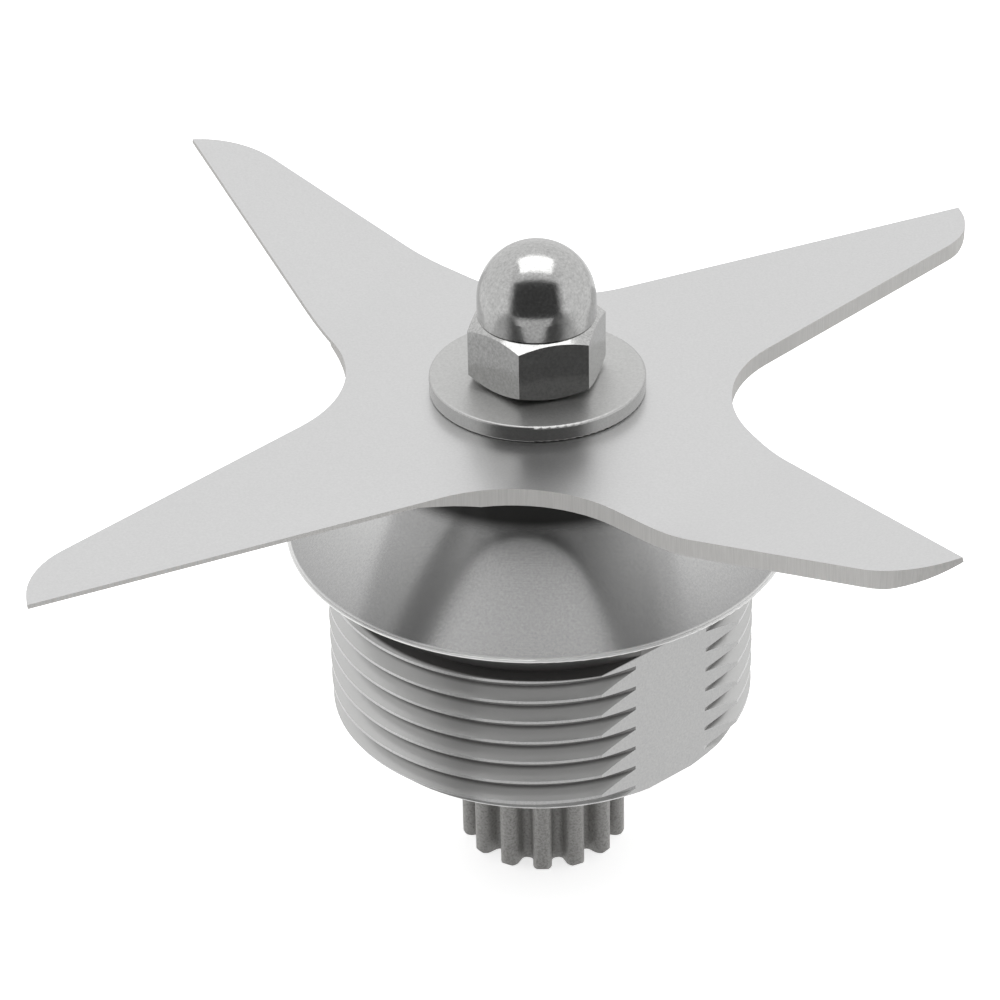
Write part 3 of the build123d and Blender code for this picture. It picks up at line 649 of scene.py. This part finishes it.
# %% Build the spring's tree
per_winding = 12
tree, sizes, end = start_tree("garter_spring", [
    ("Ring radius", "Float"), ("Coil radius", "Float"), ("Wire radius", "Float"),
    ("Points", "Int"), ("Height", "Float"), ("Finish", "Material")])
circle = add(tree, "GeometryNodeMeshCircle", {},
             {"Vertices": sizes["Points"], "Radius": sizes["Ring radius"]})
count = add(tree, "GeometryNodeInputIndex")
angle = add(tree, "ShaderNodeMath", {"operation": "MULTIPLY", 1: 2 * math.pi / per_winding}, {0: count})
out_share = add(tree, "ShaderNodeMath", {"operation": "COSINE"}, {0: angle})
up_share = add(tree, "ShaderNodeMath", {"operation": "SINE"}, {0: angle})
out_by = add(tree, "ShaderNodeMath", {"operation": "MULTIPLY"}, {0: out_share, 1: sizes["Coil radius"]})
up_by = add(tree, "ShaderNodeMath", {"operation": "MULTIPLY_ADD"},
            {0: up_share, 1: sizes["Coil radius"], 2: sizes["Height"]})
spot = add(tree, "GeometryNodeInputPosition")
outward = add(tree, "ShaderNodeVectorMath", {"operation": "NORMALIZE"}, {0: spot})
push = add(tree, "ShaderNodeVectorMath", {"operation": "SCALE"}, {0: outward, "Scale": out_by})
lift = add(tree, "ShaderNodeCombineXYZ", {}, {"Z": up_by})
shift = add(tree, "ShaderNodeVectorMath", {"operation": "ADD"}, {0: push, 1: lift})
bent = add(tree, "GeometryNodeSetPosition", {}, {"Geometry": circle, "Offset": shift})
line = add(tree, "GeometryNodeMeshToCurve", {}, {"Mesh": bent})
section = add(tree, "GeometryNodeCurvePrimitiveCircle", {"Resolution": 6}, {"Radius": sizes["Wire radius"]})
wire = add(tree, "GeometryNodeCurveToMesh", {}, {"Curve": line, "Profile Curve": section})
end_tree(tree, end, wire, sizes["Finish"])
print("spring tree nodes:", len(tree.nodes))

# %% Wind the spring
ring_low, ring_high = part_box("shaft_seal_spring")
coil_outer = (ring_high.z - ring_low.z) / 2
wire_radius = 0.11 * mm
pitch = 2.3 * wire_radius
ring_radius = ring_high.y - coil_outer
windings = int(2 * math.pi * ring_radius / pitch)
spring = grow("seal_garter_spring", tree, {
    "Ring radius": ring_radius, "Coil radius": coil_outer - wire_radius, "Wire radius": wire_radius,
    "Points": windings * per_winding, "Height": (ring_low.z + ring_high.z) / 2,
    "Finish": shaft_steel})
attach(spring, "housing")
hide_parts("shaft_seal_spring")
print("windings:", windings, "ring radius in mm:", round(ring_radius / mm, 2))

# %% [markdown]
# ## Bearing balls
# Each deep groove bearing holds eight balls of 3 mm. They could be copied by hand, but a circle of
# points with a ball on each point says what they are, and the same tree serves both bearings. Each set
# rides with its own cage, which turns slower than the spindle.

# %% Set the balls
balls_in_row = 8
tree, sizes, end = start_tree("ball_ring", [
    ("Pitch radius", "Float"), ("Ball radius", "Float"), ("Balls", "Int"),
    ("Height", "Vector"), ("Finish", "Material")])
circle = add(tree, "GeometryNodeMeshCircle", {},
             {"Vertices": sizes["Balls"], "Radius": sizes["Pitch radius"]})
level = add(tree, "GeometryNodeSetPosition", {}, {"Geometry": circle, "Offset": sizes["Height"]})
ball = add(tree, "GeometryNodeMeshUVSphere", {"Segments": 32, "Rings": 16}, {"Radius": sizes["Ball radius"]})
spread = add(tree, "GeometryNodeInstanceOnPoints", {}, {"Points": level, "Instance": ball})
end_tree(tree, end, spread, sizes["Finish"])
for row in ("upper", "lower"):
    set_low, set_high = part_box(row + "_bearing_balls")
    ball_radius = (set_high.z - set_low.z) / 2
    balls = grow(row + "_bearing_ball_row", tree, {
        "Pitch radius": set_high.x - ball_radius, "Ball radius": ball_radius, "Balls": balls_in_row,
        "Height": (0.0, 0.0, (set_low.z + set_high.z) / 2), "Finish": bearing_steel})
    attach(balls, row + "_ball_set")
    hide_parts(row + "_bearing_balls")
